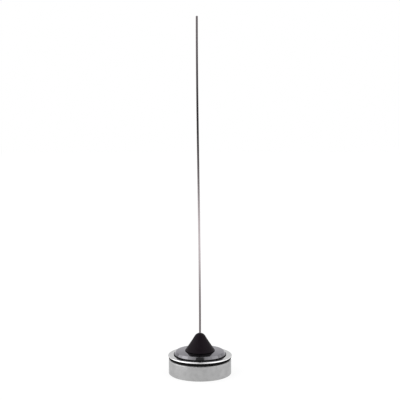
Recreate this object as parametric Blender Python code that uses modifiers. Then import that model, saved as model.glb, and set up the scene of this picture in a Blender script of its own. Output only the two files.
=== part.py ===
"""A quarter-wave radio antenna for a vehicle roof: a steel whip in a black cone, on a screw-on metal base.

Sizes are in metres and +Z is up. The origin is the middle of the base's rim, which stands on the roof.
Every round piece is turned about the Z axis from an outline of (radius, height) corners.
"""

import math

import bmesh
import bpy
from mathutils import Vector

# Room left between two pieces that touch on the real antenna
SEAT_GAP = 0.0001
FIT_GAP = 0.0001

# Base shell, which screws onto the roof mount
SHELL_HEIGHT = 0.009
SHELL_WALL = 0.00405
SHELL_TOP_EDGE_RADIUS = 0.0009
SHELL_BOTTOM_EDGE_RADIUS = 0.0004
RIM_WIDTH = 0.0025
RIM_GASKET_HEIGHT = 0.0013
THREAD_BORE_DIAMETER = 0.027
THREAD_ENTRY = 0.0007
DISC_LEDGE_WIDTH = 0.0015

# Rings stacked between the shell and the cap
BODY_GASKET_HEIGHT = 0.00165
BODY_GASKET_RECESS = 0.00075
TRIM_RING_HEIGHT = 0.0006
TRIM_RING_OVERHANG = 0.00035
TRIM_RING_EDGE_RADIUS = 0.00055
TRIM_SEAL_HEIGHT = 0.0003
TRIM_SEAL_OVERHANG = 0.0004

# Cap: the round boss that the cone stands on, with a spigot that reaches into the shell
CAP_HEIGHT = 0.0019
CAP_SHOULDER_WIDTH = 0.0007
CAP_DRAFT = 0.001
CAP_EDGE_RADIUS = 0.0004
CAP_CROWN = 0.0003
CAP_ROOF = 0.0019
SPIGOT_WALL = 0.0018

# Cone, moulded round the stud's head
CONE_DIAMETER = 0.0182
CONE_HEIGHT = 0.01085
CONE_NOSE_RADIUS = 0.0038
CONE_FLARE = 0.0001
CONE_EDGE_RADIUS = 0.00015
CONE_FLOOR = 0.00115
CONE_STEM_WALL = 0.0018
CONE_SEAL_THICKNESS = 0.0009

# Stud, which grips the whip above and holds the spring contact below
STUD_DIAMETER = 0.005
STUD_PROJECTION = 0.0011
STUD_HEAD_ACROSS_FLATS = 0.007
STUD_HEAD_HEIGHT = 0.003
STUD_SLEEVE_WALL = 0.0012
STUD_SLEEVE_COVER = 0.0026
STUD_EDGE = 0.0002
STUD_WEB = 0.0015

# Fasteners and insulators on the stud
INSULATING_WASHER_HEIGHT = 0.00095
INSULATING_WASHER_DIAMETER = 0.013
FLAT_WASHER_HEIGHT = 0.0005
FLAT_WASHER_DIAMETER = 0.01
LOCK_WASHER_HEIGHT = 0.0008
LOCK_WASHER_WIDTH = 0.0014
LOCK_WASHER_SLIT = 0.0005
LOCK_WASHER_SLIT_ANGLE = 25
NUT_HEIGHT = 0.002
NUT_ACROSS_FLATS = 0.008
NUT_CHAMFER = 0.0003
DISC_HEIGHT = 0.001
DISC_COLLAR_WIDTH = 0.0014
DISC_COLLAR_DROP = 0.0005

# Spring contact in the stud's lower end
CONTACT_PROJECTION = 0.0016
CONTACT_HEAD_HEIGHT = 0.0015
CONTACT_PEG_HEIGHT = 0.0009
CONTACT_BORE_WALL = 0.00075
RETAINER_HEIGHT = 0.0008
RETAINER_WALL = 0.0007
RETAINER_SEAT_WALL = 0.0004
SPRING_LENGTH = 0.0038
SPRING_WIRE = 0.0003
SPRING_CLEARANCE = 0.0003
SPRING_OPEN_TURNS = 4
SPRING_CLOSED_PITCH = 1.2

# Whip: a plain steel rod that leans a little
WHIP_DIAMETER = 0.00127
WHIP_FREE_LENGTH = 0.1905
WHIP_LEAN = 0.0019
WHIP_TIP_RADIUS = 0.0004

# How finely round shapes are divided
LARGE_STEPS = 64
MEDIUM_STEPS = 48
SMALL_STEPS = 24
EDGE_STEPS = 2
ARC_STEPS = 4
WIRE_STEPS_A_TURN = 12
WHIP_POINTS = 20

# Heights of the stack that shows, upwards from the rim at zero
RIM_RECESS = RIM_GASKET_HEIGHT + 2 * SEAT_GAP
BODY_GASKET_BOTTOM = SHELL_HEIGHT + SEAT_GAP
BODY_GASKET_TOP = BODY_GASKET_BOTTOM + BODY_GASKET_HEIGHT
TRIM_RING_BOTTOM = BODY_GASKET_TOP + SEAT_GAP
TRIM_RING_TOP = TRIM_RING_BOTTOM + TRIM_RING_HEIGHT
TRIM_SEAL_BOTTOM = TRIM_RING_TOP + SEAT_GAP
TRIM_SEAL_TOP = TRIM_SEAL_BOTTOM + TRIM_SEAL_HEIGHT
CAP_SHOULDER = TRIM_SEAL_TOP + SEAT_GAP
CAP_TOP = CAP_SHOULDER + CAP_HEIGHT
CONE_BOTTOM = CAP_TOP + SEAT_GAP
CONE_TOP = CONE_BOTTOM + CONE_HEIGHT
WHIP_TOP = CONE_TOP + WHIP_FREE_LENGTH

# Heights of the stack that the nut clamps, downwards from the cap's roof
ROOF_UNDERSIDE = CAP_TOP - CAP_ROOF
INSULATING_WASHER_TOP = ROOF_UNDERSIDE - SEAT_GAP
INSULATING_WASHER_BOTTOM = INSULATING_WASHER_TOP - INSULATING_WASHER_HEIGHT
FLAT_WASHER_TOP = INSULATING_WASHER_BOTTOM - SEAT_GAP
FLAT_WASHER_BOTTOM = FLAT_WASHER_TOP - FLAT_WASHER_HEIGHT
LOCK_WASHER_TOP = FLAT_WASHER_BOTTOM - SEAT_GAP
LOCK_WASHER_BOTTOM = LOCK_WASHER_TOP - LOCK_WASHER_HEIGHT
NUT_TOP = LOCK_WASHER_BOTTOM - SEAT_GAP
NUT_BOTTOM = NUT_TOP - NUT_HEIGHT
DISC_TOP = NUT_BOTTOM - SEAT_GAP
DISC_BOTTOM = DISC_TOP - DISC_HEIGHT
DISC_LEDGE = DISC_BOTTOM - SEAT_GAP
SPIGOT_END = DISC_TOP + SEAT_GAP

# Heights along the stud
STUD_END = DISC_BOTTOM - STUD_PROJECTION
RETAINER_TOP = STUD_END + RETAINER_HEIGHT
CONTACT_HEAD_BOTTOM = RETAINER_TOP + SEAT_GAP
CONTACT_HEAD_TOP = CONTACT_HEAD_BOTTOM + CONTACT_HEAD_HEIGHT
CONTACT_TIP = STUD_END - CONTACT_PROJECTION
SPRING_BOTTOM = CONTACT_HEAD_TOP + SEAT_GAP
CONTACT_BORE_TOP = SPRING_BOTTOM + SPRING_LENGTH + SEAT_GAP
WHIP_BORE_BOTTOM = CONTACT_BORE_TOP + STUD_WEB
WHIP_BOTTOM = WHIP_BORE_BOTTOM + SEAT_GAP
HEAD_BOTTOM = CONE_BOTTOM + CONE_FLOOR
HEAD_TOP = HEAD_BOTTOM + STUD_HEAD_HEIGHT
SLEEVE_TOP = CONE_TOP - STUD_SLEEVE_COVER

# Radii, outwards from the thread's bore
THREAD_BORE_RADIUS = THREAD_BORE_DIAMETER / 2
SOCKET_RADIUS = THREAD_BORE_RADIUS + DISC_LEDGE_WIDTH
SPIGOT_RADIUS = SOCKET_RADIUS - FIT_GAP
BASE_RADIUS = SOCKET_RADIUS + SHELL_WALL
RIM_RECESS_RADIUS = BASE_RADIUS - RIM_WIDTH
BODY_GASKET_RADIUS = BASE_RADIUS - BODY_GASKET_RECESS
TRIM_RING_RADIUS = BASE_RADIUS + TRIM_RING_OVERHANG
CAP_RADIUS = SPIGOT_RADIUS + CAP_SHOULDER_WIDTH
TRIM_SEAL_RADIUS = CAP_RADIUS + TRIM_SEAL_OVERHANG

# Radii, outwards from the whip and the stud
WHIP_RADIUS = WHIP_DIAMETER / 2
WHIP_HOLE_RADIUS = WHIP_RADIUS + FIT_GAP
SLEEVE_RADIUS = WHIP_HOLE_RADIUS + STUD_SLEEVE_WALL
STUD_RADIUS = STUD_DIAMETER / 2
STUD_HOLE_RADIUS = STUD_RADIUS + FIT_GAP
STEM_RADIUS = STUD_HOLE_RADIUS + CONE_STEM_WALL
CONE_RADIUS = CONE_DIAMETER / 2
CONE_SEAL_RADIUS = (STEM_RADIUS + CONE_RADIUS) / 2

# Radii, inwards from the stud to the spring contact
RETAINER_RADIUS = STUD_RADIUS - RETAINER_SEAT_WALL - FIT_GAP
RETAINER_BORE_RADIUS = RETAINER_RADIUS - RETAINER_WALL
CONTACT_TIP_RADIUS = RETAINER_BORE_RADIUS - FIT_GAP
CONTACT_BORE_RADIUS = STUD_RADIUS - CONTACT_BORE_WALL
CONTACT_HEAD_RADIUS = CONTACT_BORE_RADIUS - FIT_GAP
SPRING_RADIUS = CONTACT_BORE_RADIUS - SPRING_CLEARANCE
CONTACT_PEG_RADIUS = SPRING_RADIUS - SPRING_WIRE - SPRING_CLEARANCE

# How far a cutter runs past the face that it opens
OVERRUN = 0.001

# Distance within which the points of one seam are merged
WELD = 0.000001


def clear_scene():
    for obj in list(bpy.data.objects):
        bpy.data.objects.remove(obj)


def new_collection(name):
    collection = bpy.data.collections.new(name)
    bpy.context.scene.collection.children.link(collection)
    return collection


def material(name, colour, roughness, metallic):
    made = bpy.data.materials.new(name)
    made.use_nodes = True
    shader = made.node_tree.nodes["Principled BSDF"]
    shader.inputs["Base Color"].default_value = (*colour, 1)
    shader.inputs["Roughness"].default_value = roughness
    shader.inputs["Metallic"].default_value = metallic
    return made


def arc(centre_radius, centre_height, radius, start, end, steps):
    """Points on an arc from one angle to another, in degrees. 0 points outwards and 90 up."""
    angles = [math.radians(start + (end - start) * step / steps) for step in range(steps + 1)]
    return [(centre_radius + radius * math.cos(a), centre_height + radius * math.sin(a)) for a in angles]


def curve_between(start, middle, end, steps):
    """Points on a curve that leaves start towards middle and arrives at end from middle."""
    points = []
    for step in range(steps + 1):
        t = step / steps
        weights = ((1 - t) ** 2, 2 * t * (1 - t), t**2)
        points.append(tuple(sum(w * p[i] for w, p in zip(weights, (start, middle, end))) for i in (0, 1)))
    return points


def fillet(before, corner, after, radius, steps):
    """Points on an arc that rounds a corner between two straight lines."""
    here = Vector(corner)
    back = (Vector(before) - here).normalized()
    onward = (Vector(after) - here).normalized()
    half = back.angle(onward) / 2
    reach = radius / math.tan(half)
    centre = here + (back + onward).normalized() * radius / math.sin(half)
    first = here + back * reach - centre
    last = here + onward * reach - centre
    sweep = first.angle(last)
    points = []
    for step in range(steps + 1):
        turn = sweep * step / steps
        spoke = (first * math.sin(sweep - turn) + last * math.sin(turn)) / math.sin(sweep)
        points.append(tuple(centre + spoke))
    return points


def as_helper(obj):
    """Files an object with the cutters, where it shows as wires and isn't rendered."""
    for collection in obj.users_collection:
        collection.objects.unlink(obj)
    bpy.data.collections["cutters"].objects.link(obj)
    obj.hide_render = True
    obj.display_type = "WIRE"
    return obj


def as_mesh(obj):
    """Replaces a curve or a modified object by a plain mesh of the same shape, with its caps welded."""
    bpy.context.view_layer.update()
    graph = bpy.context.evaluated_depsgraph_get()
    mesh = bpy.data.meshes.new_from_object(obj.evaluated_get(graph))
    name = obj.name
    place = obj.matrix_world.copy()
    bpy.data.objects.remove(obj)
    weld = bmesh.new()
    weld.from_mesh(mesh)
    bmesh.ops.remove_doubles(weld, verts=weld.verts, dist=WELD)
    weld.to_mesh(mesh)
    weld.free()
    made = bpy.data.objects.new(name, mesh)
    made.matrix_world = place
    return as_helper(made)


def turned(name, outline, steps):
    """Turns an outline about the Z axis, down its outer side and back up its inner side.

    An outline that starts and ends on the axis makes a solid bar, and any other one makes a ring.
    """
    corners = [(radius, 0, height) for radius, height in outline]
    edges = [(i, i + 1) for i in range(len(corners) - 1)]
    if outline[0][0] > 0:
        edges.append((len(corners) - 1, 0))
    mesh = bpy.data.meshes.new(name)
    mesh.from_pydata(corners, edges, [])
    obj = as_helper(bpy.data.objects.new(name, mesh))
    screw = obj.modifiers.new("turn", "SCREW")
    screw.steps = steps
    screw.render_steps = steps
    screw.use_merge_vertices = True
    screw.merge_threshold = WELD
    return as_mesh(obj)


def washer(name, outer, inner, bottom, top, steps):
    return turned(name, [(outer, top), (outer, bottom), (inner, bottom), (inner, top)], steps)


def prism(name, corner_radius, bottom, top, sides):
    """An upright bar on the axis, with flat sides or with so many that it is round."""
    mesh = bpy.data.meshes.new(name)
    bar = bmesh.new()
    bmesh.ops.create_cone(
        bar, cap_ends=True, segments=sides, radius1=corner_radius, radius2=corner_radius, depth=top - bottom
    )
    bmesh.ops.translate(bar, verts=bar.verts, vec=(0, 0, (top + bottom) / 2))
    bar.to_mesh(mesh)
    bar.free()
    return as_helper(bpy.data.objects.new(name, mesh))


def hexagon(name, across_flats, bottom, top):
    return prism(name, across_flats / math.sqrt(3), bottom, top, 6)


def wire(name, points, radii, resolution):
    """A round wire along a line of points, with filled ends."""
    curve = bpy.data.curves.new(name, "CURVE")
    curve.dimensions = "3D"
    curve.bevel_depth = 1
    curve.bevel_resolution = resolution
    curve.use_fill_caps = True
    spline = curve.splines.new("POLY")
    spline.points.add(len(points) - 1)
    for place, point, radius in zip(spline.points, points, radii):
        place.co = (*point, 1)
        place.radius = radius
    return as_mesh(as_helper(bpy.data.objects.new(name, curve)))


def combine(obj, other, operation):
    """Cuts a shape with another one, joins them, or keeps what they share."""
    boolean = obj.modifiers.new(other.name, "BOOLEAN")
    boolean.operation = operation
    boolean.object = other
    boolean.solver = "EXACT"


def finish(obj, surface):
    """Makes a shape one of the antenna's pieces, smooth apart from its edges."""
    bpy.data.collections["cutters"].objects.unlink(obj)
    bpy.data.collections["vehicle_antenna"].objects.link(obj)
    obj.hide_render = False
    obj.display_type = "TEXTURED"
    obj.data.materials.append(surface)
    obj.data.shade_smooth()
    obj.data.set_sharp_from_angle(angle=math.radians(30))


def make_base_shell(surface):
    """Turned shell: below, the gasket's recess and the thread's bore; above, a ledge and a socket."""
    top_edge = SHELL_TOP_EDGE_RADIUS
    bottom_edge = SHELL_BOTTOM_EDGE_RADIUS
    outline = arc(BASE_RADIUS - top_edge, SHELL_HEIGHT - top_edge, top_edge, 90, 0, ARC_STEPS)
    outline += arc(BASE_RADIUS - bottom_edge, bottom_edge, bottom_edge, 0, -90, EDGE_STEPS)
    outline += [
        (RIM_RECESS_RADIUS, 0),
        (RIM_RECESS_RADIUS, RIM_RECESS),
        (THREAD_BORE_RADIUS + THREAD_ENTRY, RIM_RECESS),
        (THREAD_BORE_RADIUS, RIM_RECESS + THREAD_ENTRY),
        (THREAD_BORE_RADIUS, DISC_LEDGE),
        (SOCKET_RADIUS, DISC_LEDGE),
        (SOCKET_RADIUS, SHELL_HEIGHT),
    ]
    finish(turned("base_shell", outline, LARGE_STEPS), surface)


def make_rim_gasket(surface):
    """Flat rubber ring in the shell's rim, which seals against the roof."""
    outer = RIM_RECESS_RADIUS - FIT_GAP
    inner = THREAD_BORE_RADIUS + THREAD_ENTRY
    top = RIM_RECESS - SEAT_GAP
    finish(washer("rim_gasket", outer, inner, top - RIM_GASKET_HEIGHT, top, LARGE_STEPS), surface)


def make_body_gasket(surface):
    """Rubber ring between the shell and the trim ring, set back from both, with a bulging edge."""
    half = BODY_GASKET_HEIGHT / 2
    outline = arc(BODY_GASKET_RADIUS - half, BODY_GASKET_BOTTOM + half, half, 90, -90, ARC_STEPS)
    outline += [(SOCKET_RADIUS, BODY_GASKET_BOTTOM), (SOCKET_RADIUS, BODY_GASKET_TOP)]
    finish(turned("body_gasket", outline, LARGE_STEPS), surface)


def make_trim_ring(surface):
    """Polished ring with a flat top and a rounded rim."""
    edge = min(TRIM_RING_EDGE_RADIUS, TRIM_RING_HEIGHT - 2 * WELD)
    outline = arc(TRIM_RING_RADIUS - edge, TRIM_RING_TOP - edge, edge, 90, 0, ARC_STEPS)
    outline += [
        (TRIM_RING_RADIUS, TRIM_RING_BOTTOM),
        (SOCKET_RADIUS, TRIM_RING_BOTTOM),
        (SOCKET_RADIUS, TRIM_RING_TOP),
    ]
    finish(turned("trim_ring", outline, LARGE_STEPS), surface)


def make_trim_seal(surface):
    """Thin rubber ring between the trim ring and the cap's shoulder."""
    half = TRIM_SEAL_HEIGHT / 2
    outline = arc(TRIM_SEAL_RADIUS - half, TRIM_SEAL_BOTTOM + half, half, 90, -90, EDGE_STEPS)
    outline += [(SOCKET_RADIUS, TRIM_SEAL_BOTTOM), (SOCKET_RADIUS, TRIM_SEAL_TOP)]
    finish(turned("trim_seal", outline, LARGE_STEPS), surface)


def make_top_cap(surface):
    """Low boss with a flat seat for the cone, a sloping top, a slanting wall and a spigot in the shell."""
    seat_edge = (CONE_RADIUS + FIT_GAP, CAP_TOP)
    rim = (CAP_RADIUS - CAP_DRAFT, CAP_TOP - CAP_CROWN)
    foot = (CAP_RADIUS, CAP_SHOULDER)
    hole_radius = STEM_RADIUS + FIT_GAP
    outline = [(hole_radius, CAP_TOP), seat_edge]
    outline += fillet(seat_edge, rim, foot, CAP_EDGE_RADIUS, ARC_STEPS)
    outline += [
        foot,
        (SPIGOT_RADIUS, CAP_SHOULDER),
        (SPIGOT_RADIUS, SPIGOT_END),
        (SPIGOT_RADIUS - SPIGOT_WALL, SPIGOT_END),
        (SPIGOT_RADIUS - SPIGOT_WALL, ROOF_UNDERSIDE),
        (hole_radius, ROOF_UNDERSIDE),
    ]
    finish(turned("top_cap", outline, LARGE_STEPS), surface)


def cone_side():
    """The cone's outer line, from the whip's hole over the nose and down the hollow flank to its foot."""
    nose_centre = CONE_TOP - CONE_NOSE_RADIUS
    edge = CONE_EDGE_RADIUS
    foot = (CONE_RADIUS, CONE_BOTTOM + edge)
    foot_angle = math.atan2(foot[1] - nose_centre, foot[0])
    foot_distance = math.hypot(foot[0], foot[1] - nose_centre)
    flank_angle = foot_angle + math.acos(CONE_NOSE_RADIUS / foot_distance)
    hole_angle = math.acos(WHIP_HOLE_RADIUS / CONE_NOSE_RADIUS)
    nose_start, nose_end = math.degrees(hole_angle), math.degrees(flank_angle)
    line = arc(0, nose_centre, CONE_NOSE_RADIUS, nose_start, nose_end, ARC_STEPS)
    start = line[-1]
    middle = (
        (start[0] + foot[0]) / 2 - 2 * CONE_FLARE * math.cos(flank_angle),
        (start[1] + foot[1]) / 2 - 2 * CONE_FLARE * math.sin(flank_angle),
    )
    line += curve_between(start, middle, foot, ARC_STEPS)[1:-1]
    return line + arc(CONE_RADIUS - edge, CONE_BOTTOM + edge, edge, 0, -90, EDGE_STEPS)


def make_cone(surface):
    """Moulded insulator: the cone, a groove for its seal, and a stem through the cap, hollow for the stud."""
    groove_half = CONE_SEAL_THICKNESS / 2 + FIT_GAP
    groove_top = CONE_BOTTOM + CONE_SEAL_THICKNESS + SEAT_GAP
    stem_end = ROOF_UNDERSIDE + SEAT_GAP
    sleeve_room = SLEEVE_RADIUS + FIT_GAP
    outline = cone_side()
    outline += [
        (CONE_SEAL_RADIUS + groove_half, CONE_BOTTOM),
        (CONE_SEAL_RADIUS + groove_half, groove_top),
        (CONE_SEAL_RADIUS - groove_half, groove_top),
        (CONE_SEAL_RADIUS - groove_half, CONE_BOTTOM),
        (STEM_RADIUS, CONE_BOTTOM),
        (STEM_RADIUS, stem_end),
        (STUD_HOLE_RADIUS, stem_end),
        (STUD_HOLE_RADIUS, HEAD_TOP),
        (sleeve_room, HEAD_TOP),
        (sleeve_room, SLEEVE_TOP + SEAT_GAP),
        (WHIP_HOLE_RADIUS, SLEEVE_TOP + SEAT_GAP),
    ]
    cone = turned("cone_insulator", outline, MEDIUM_STEPS)
    room_across_flats = STUD_HEAD_ACROSS_FLATS + 2 * FIT_GAP
    pocket = hexagon("head_pocket", room_across_flats, HEAD_BOTTOM - SEAT_GAP, HEAD_TOP + SEAT_GAP)
    combine(cone, pocket, "DIFFERENCE")
    finish(cone, surface)


def make_cone_seal(surface):
    """O-ring in the cone's groove."""
    radius = CONE_SEAL_THICKNESS / 2
    outline = arc(CONE_SEAL_RADIUS, CAP_TOP + SEAT_GAP + radius, radius, 180, -180, 2 * ARC_STEPS)[:-1]
    finish(turned("cone_seal", outline, MEDIUM_STEPS), surface)


def make_stud(surface):
    """Brass stud: a sleeve for the whip, a hexagonal head, and a shank bored from below for the contact."""
    outline = [
        (0, SLEEVE_TOP),
        (SLEEVE_RADIUS - STUD_EDGE, SLEEVE_TOP),
        (SLEEVE_RADIUS, SLEEVE_TOP - STUD_EDGE),
        (SLEEVE_RADIUS, HEAD_TOP - STUD_EDGE),
        (STUD_RADIUS, HEAD_TOP - STUD_EDGE),
        (STUD_RADIUS, STUD_END + STUD_EDGE),
        (STUD_RADIUS - STUD_EDGE, STUD_END),
        (0, STUD_END),
    ]
    stud = turned("whip_stud", outline, SMALL_STEPS)
    head = hexagon("stud_head", STUD_HEAD_ACROSS_FLATS, HEAD_BOTTOM, HEAD_TOP)
    combine(stud, head, "UNION")
    whip_bore = prism("whip_bore", WHIP_HOLE_RADIUS, WHIP_BORE_BOTTOM, SLEEVE_TOP + OVERRUN, SMALL_STEPS)
    combine(stud, whip_bore, "DIFFERENCE")
    retainer_seat = RETAINER_RADIUS + FIT_GAP
    bore_outline = [
        (0, CONTACT_BORE_TOP),
        (CONTACT_BORE_RADIUS, CONTACT_BORE_TOP),
        (CONTACT_BORE_RADIUS, RETAINER_TOP + SEAT_GAP),
        (retainer_seat, RETAINER_TOP + SEAT_GAP),
        (retainer_seat, STUD_END - OVERRUN),
        (0, STUD_END - OVERRUN),
    ]
    contact_bore = turned("contact_bore", bore_outline, SMALL_STEPS)
    combine(stud, contact_bore, "DIFFERENCE")
    finish(stud, surface)


def make_disc(surface):
    """Nylon disc that closes the socket, with a collar round the stud."""
    collar_radius = STUD_HOLE_RADIUS + DISC_COLLAR_WIDTH
    outline = [
        (SPIGOT_RADIUS, DISC_TOP),
        (SPIGOT_RADIUS, DISC_BOTTOM),
        (collar_radius + DISC_COLLAR_DROP, DISC_BOTTOM),
        (collar_radius, DISC_BOTTOM - DISC_COLLAR_DROP),
        (STUD_HOLE_RADIUS, DISC_BOTTOM - DISC_COLLAR_DROP),
        (STUD_HOLE_RADIUS, DISC_TOP),
    ]
    finish(turned("insulator_disc", outline, MEDIUM_STEPS), surface)


def make_insulating_washer(surface):
    """Plain washer that keeps the fasteners clear of the cap's roof."""
    outer = INSULATING_WASHER_DIAMETER / 2
    bottom, top = INSULATING_WASHER_BOTTOM, INSULATING_WASHER_TOP
    finish(washer("insulating_washer", outer, STUD_HOLE_RADIUS, bottom, top, SMALL_STEPS), surface)


def make_flat_washer(surface):
    """Plain washer under the lock washer."""
    outer = FLAT_WASHER_DIAMETER / 2
    bottom, top = FLAT_WASHER_BOTTOM, FLAT_WASHER_TOP
    finish(washer("flat_washer", outer, STUD_HOLE_RADIUS, bottom, top, SMALL_STEPS), surface)


def make_nut(surface):
    """Hexagon nut with its corners turned off."""
    corner_radius = NUT_ACROSS_FLATS / math.sqrt(3)
    nut = hexagon("stud_nut", NUT_ACROSS_FLATS, NUT_BOTTOM, NUT_TOP)
    outline = [
        (0, NUT_TOP),
        (corner_radius - NUT_CHAMFER, NUT_TOP),
        (corner_radius + NUT_CHAMFER, NUT_TOP - NUT_CHAMFER),
        (corner_radius + NUT_CHAMFER, NUT_BOTTOM + NUT_CHAMFER),
        (corner_radius - NUT_CHAMFER, NUT_BOTTOM),
        (0, NUT_BOTTOM),
    ]
    combine(nut, turned("nut_turning", outline, SMALL_STEPS), "INTERSECT")
    bore = prism("nut_bore", STUD_HOLE_RADIUS, NUT_BOTTOM - OVERRUN, NUT_TOP + OVERRUN, SMALL_STEPS)
    combine(nut, bore, "DIFFERENCE")
    finish(nut, surface)


def make_lock_washer(surface):
    """Spring washer with one slanting slit."""
    outer = STUD_HOLE_RADIUS + LOCK_WASHER_WIDTH
    ring = washer("lock_washer", outer, STUD_HOLE_RADIUS, LOCK_WASHER_BOTTOM, LOCK_WASHER_TOP, SMALL_STEPS)
    bpy.ops.mesh.primitive_cube_add(size=1)
    slit = as_helper(bpy.context.object)
    slit.name = "washer_slit"
    slit.scale = (outer, LOCK_WASHER_SLIT, 4 * LOCK_WASHER_HEIGHT)
    slit.rotation_euler = (math.radians(LOCK_WASHER_SLIT_ANGLE), 0, 0)
    slit.location = ((outer + STUD_HOLE_RADIUS) / 2, 0, (LOCK_WASHER_TOP + LOCK_WASHER_BOTTOM) / 2)
    combine(ring, slit, "DIFFERENCE")
    finish(ring, surface)


def make_contact_retainer(surface):
    """Brass ring pressed into the stud's mouth, which stops the plunger falling out."""
    ring = washer(
        "contact_retainer", RETAINER_RADIUS, RETAINER_BORE_RADIUS, STUD_END, RETAINER_TOP, SMALL_STEPS
    )
    finish(ring, surface)


def make_contact_plunger(surface):
    """Sliding contact: a round-ended tip, a head that stops on the retainer, and a peg inside the spring."""
    peg_top = CONTACT_HEAD_TOP + CONTACT_PEG_HEIGHT
    outline = [
        (0, peg_top),
        (CONTACT_PEG_RADIUS, peg_top),
        (CONTACT_PEG_RADIUS, CONTACT_HEAD_TOP),
        (CONTACT_HEAD_RADIUS, CONTACT_HEAD_TOP),
        (CONTACT_HEAD_RADIUS, CONTACT_HEAD_BOTTOM),
        (CONTACT_TIP_RADIUS, CONTACT_HEAD_BOTTOM),
    ]
    outline += arc(0, CONTACT_TIP + CONTACT_TIP_RADIUS, CONTACT_TIP_RADIUS, 0, -90, ARC_STEPS)[:-1]
    outline.append((0, CONTACT_TIP))
    finish(turned("contact_plunger", outline, SMALL_STEPS), surface)


def make_contact_spring(surface):
    """Compression spring with a closed turn at each end."""
    wire_radius = SPRING_WIRE / 2
    coil_radius = SPRING_RADIUS - wire_radius
    closed_rise = SPRING_WIRE * SPRING_CLOSED_PITCH
    open_rise = (SPRING_LENGTH - SPRING_WIRE - 2 * closed_rise) / SPRING_OPEN_TURNS
    points = []
    for step in range((SPRING_OPEN_TURNS + 2) * WIRE_STEPS_A_TURN + 1):
        turn = step / WIRE_STEPS_A_TURN
        open_turns = min(max(turn - 1, 0), SPRING_OPEN_TURNS)
        rise = open_turns * open_rise + (turn - open_turns) * closed_rise
        angle = 2 * math.pi * turn
        height = SPRING_BOTTOM + wire_radius + rise
        points.append((coil_radius * math.cos(angle), coil_radius * math.sin(angle), height))
    finish(wire("contact_spring", points, [wire_radius] * len(points), 2), surface)


def make_whip(surface):
    """Steel rod, straight in its grip and leaning gently above the cone, with a rounded tip."""
    tip_radius = min(WHIP_TIP_RADIUS, WHIP_RADIUS - WELD)
    points = [(0, 0, WHIP_BOTTOM)]
    radii = [WHIP_RADIUS]
    for step in range(WHIP_POINTS + 1):
        share = step / WHIP_POINTS
        lean = WHIP_LEAN * share**2 * (3 - 2 * share)
        points.append((-lean, 0, CONE_TOP + share * (WHIP_FREE_LENGTH - tip_radius)))
        radii.append(WHIP_RADIUS)
    tip = arc(WHIP_RADIUS - tip_radius, WHIP_TOP - tip_radius, tip_radius, 0, 90, ARC_STEPS)
    for reach, height in tip[1:]:
        points.append((-WHIP_LEAN, 0, height))
        radii.append(reach)
    finish(wire("whip", points, radii, 3), surface)


def build():
    clear_scene()
    new_collection("vehicle_antenna")
    new_collection("cutters")
    satin_nickel = material("satin_nickel", (0.46, 0.47, 0.465), 0.42, 1)
    chrome = material("polished_chrome", (0.8, 0.8, 0.81), 0.08, 1)
    grey_metal = material("grey_metal", (0.25, 0.25, 0.265), 0.2, 1)
    black_plastic = material("black_plastic", (0.012, 0.01, 0.012), 0.45, 0)
    rubber = material("black_rubber", (0.01, 0.01, 0.01), 0.7, 0)
    steel = material("whip_steel", (0.2, 0.19, 0.19), 0.3, 1)
    brass = material("brass", (0.66, 0.47, 0.2), 0.3, 1)
    zinc = material("zinc_plated_steel", (0.6, 0.61, 0.62), 0.35, 1)
    nylon = material("natural_nylon", (0.75, 0.73, 0.66), 0.5, 0)
    make_base_shell(satin_nickel)
    make_rim_gasket(rubber)
    make_body_gasket(rubber)
    make_trim_ring(chrome)
    make_trim_seal(rubber)
    make_top_cap(grey_metal)
    make_cone(black_plastic)
    make_cone_seal(rubber)
    make_stud(brass)
    make_insulating_washer(nylon)
    make_flat_washer(zinc)
    make_lock_washer(zinc)
    make_nut(zinc)
    make_disc(nylon)
    make_contact_retainer(brass)
    make_contact_plunger(brass)
    make_contact_spring(zinc)
    make_whip(steel)


build()
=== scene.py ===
"""Looks of a radio antenna for a vehicle roof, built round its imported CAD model.

Sizes are in metres and +Z is up, as in the CAD model. The camera stands on the -Y side.
Every round piece is turned about the Z axis from rings, which are pairs of a radius and a height.
A ring's radius may be a function of the angle, which gives hexagons and the ends of threads.
"""

import math

import bmesh
import bpy
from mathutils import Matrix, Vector


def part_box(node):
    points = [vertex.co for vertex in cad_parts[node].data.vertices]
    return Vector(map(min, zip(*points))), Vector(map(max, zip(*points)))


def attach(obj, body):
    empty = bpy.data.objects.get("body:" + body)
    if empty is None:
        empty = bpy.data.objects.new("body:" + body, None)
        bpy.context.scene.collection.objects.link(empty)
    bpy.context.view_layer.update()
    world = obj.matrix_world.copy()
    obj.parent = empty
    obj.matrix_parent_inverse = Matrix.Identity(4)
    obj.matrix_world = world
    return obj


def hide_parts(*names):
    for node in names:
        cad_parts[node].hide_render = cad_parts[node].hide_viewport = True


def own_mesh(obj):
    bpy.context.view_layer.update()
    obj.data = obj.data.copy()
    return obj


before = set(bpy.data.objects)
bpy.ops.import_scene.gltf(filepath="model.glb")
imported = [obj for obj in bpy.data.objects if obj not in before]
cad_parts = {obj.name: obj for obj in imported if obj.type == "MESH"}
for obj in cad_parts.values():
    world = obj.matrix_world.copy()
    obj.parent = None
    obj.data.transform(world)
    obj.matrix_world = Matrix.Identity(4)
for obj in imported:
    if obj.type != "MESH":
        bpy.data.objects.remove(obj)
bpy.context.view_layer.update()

# Pieces that are pressed together reach this far across the gap that the CAD model leaves
GAP = 0.0001

# Shell: its walls, its gasket's recess and its mounting thread of 18 turns an inch
SHELL_TOP_EDGE = 0.0009
SHELL_BOTTOM_EDGE = 0.0004
SMALL_EDGE = 0.00012
SOCKET_RADIUS = 0.015
RIM_RECESS_RADIUS = 0.01655
RIM_RECESS_TOP = 0.0015
THREAD_ENTRY_RADIUS = 0.0142
THREAD_RADIUS = 0.0135
THREAD_DEPTH = 0.00079
THREAD_PITCH = 0.0254 / 18
DISC_LEDGE = 0.0061

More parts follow.
